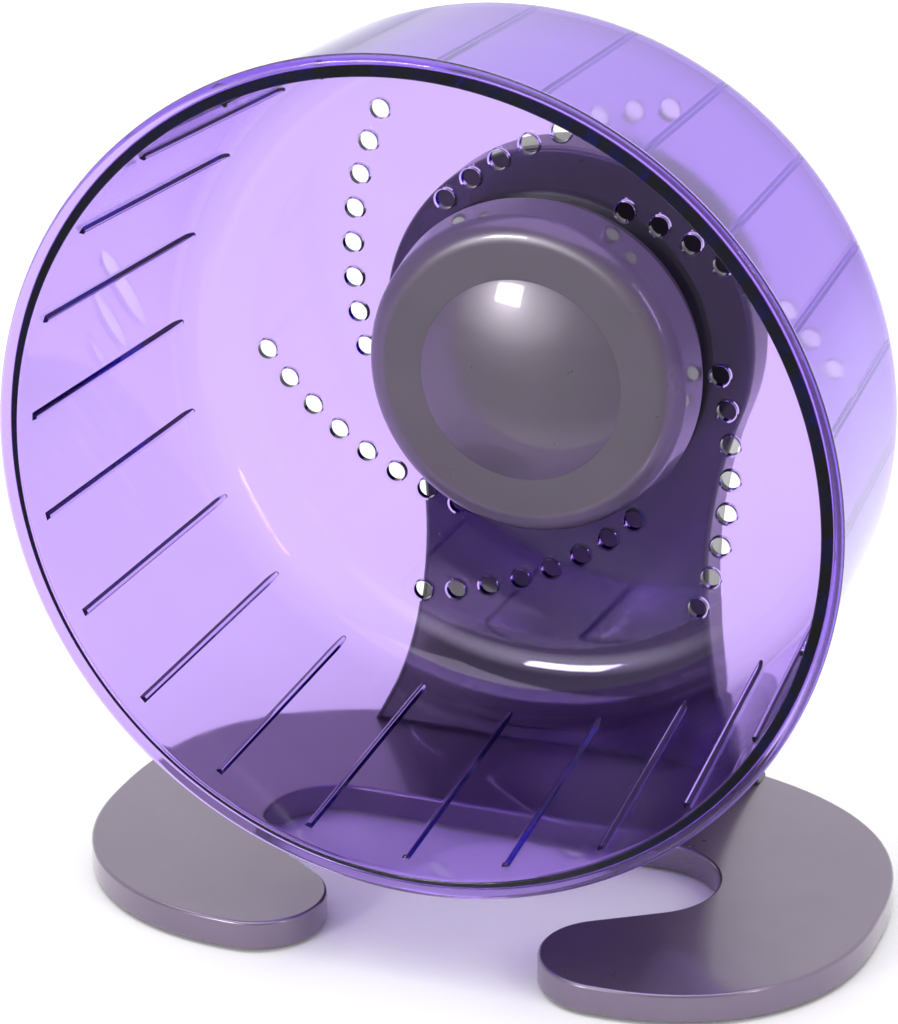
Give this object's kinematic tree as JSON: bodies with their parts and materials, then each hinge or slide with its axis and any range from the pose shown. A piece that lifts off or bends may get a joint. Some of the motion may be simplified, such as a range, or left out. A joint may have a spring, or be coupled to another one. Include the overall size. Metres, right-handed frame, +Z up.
{
  "type": "hamster_wheel",
  "caption": "Pet running wheel: a see-through ribbed drum with a vented disc, turning on a ball-bearing hub carried by a rear upright on a C-shaped base",
  "frame": {"origin": "on the floor, at the middle of the overall width and depth", "axes": "X to the right, Y to the back along the axle, Z up"},
  "size_m": [0.165, 0.1024, 0.1838],
  "materials": {
    "purple_clear": "clear tinted, glossy",
    "pewter_plastic": "glossy pewter",
    "dark_plastic": "satin",
    "zinc_steel": "zinc plated",
    "bearing_steel": "ground and polished",
    "nylon": "moulded",
    "rubber": "matt"
  },
  "bodies": {
    "stand": {"base_plate": "pewter_plastic", "foot_pads": "rubber", "upright_shell": "pewter_plastic", "upright_cover": "pewter_plastic", "cover_screws": "zinc_steel", "base_screws": "zinc_steel", "axle": "zinc_steel", "axle_spacer": "zinc_steel", "bearing_spacer": "zinc_steel", "axle_washer": "zinc_steel", "lock_nut": "zinc_steel", "front_inner_ring": "bearing_steel", "rear_inner_ring": "bearing_steel"},
    "wheel": {"wheel_drum": "purple_clear", "hub_housing": "dark_plastic", "hub_cap": "pewter_plastic", "hub_dome": "pewter_plastic", "hub_screws": "zinc_steel", "front_outer_ring": "bearing_steel", "front_shields": "zinc_steel", "rear_outer_ring": "bearing_steel", "rear_shields": "zinc_steel"},
    "front_ball_set": {"front_balls": "bearing_steel", "front_cage": "nylon"},
    "rear_ball_set": {"rear_balls": "bearing_steel", "rear_cage": "nylon"}
  },
  "joints": [
    {"name": "wheel_spin", "type": "hinge", "parent": "stand", "child": "wheel", "pos_m": [0, 0.0237, 0.1013], "axis": [0, 1, 0], "continuous": true},
    {"name": "front_cage_spin", "type": "hinge", "parent": "stand", "child": "front_ball_set", "pos_m": [0, 0.0217, 0.1013], "axis": [0, 1, 0], "continuous": true},
    {"name": "rear_cage_spin", "type": "hinge", "parent": "stand", "child": "rear_ball_set", "pos_m": [0, 0.0362, 0.1013], "axis": [0, 1, 0], "continuous": true}
  ],
  "couplings": [
    {"joint": "front_cage_spin", "follows": "wheel_spin", "ratio": 0.63233},
    {"joint": "rear_cage_spin", "follows": "wheel_spin", "ratio": 0.63233}
  ]
}
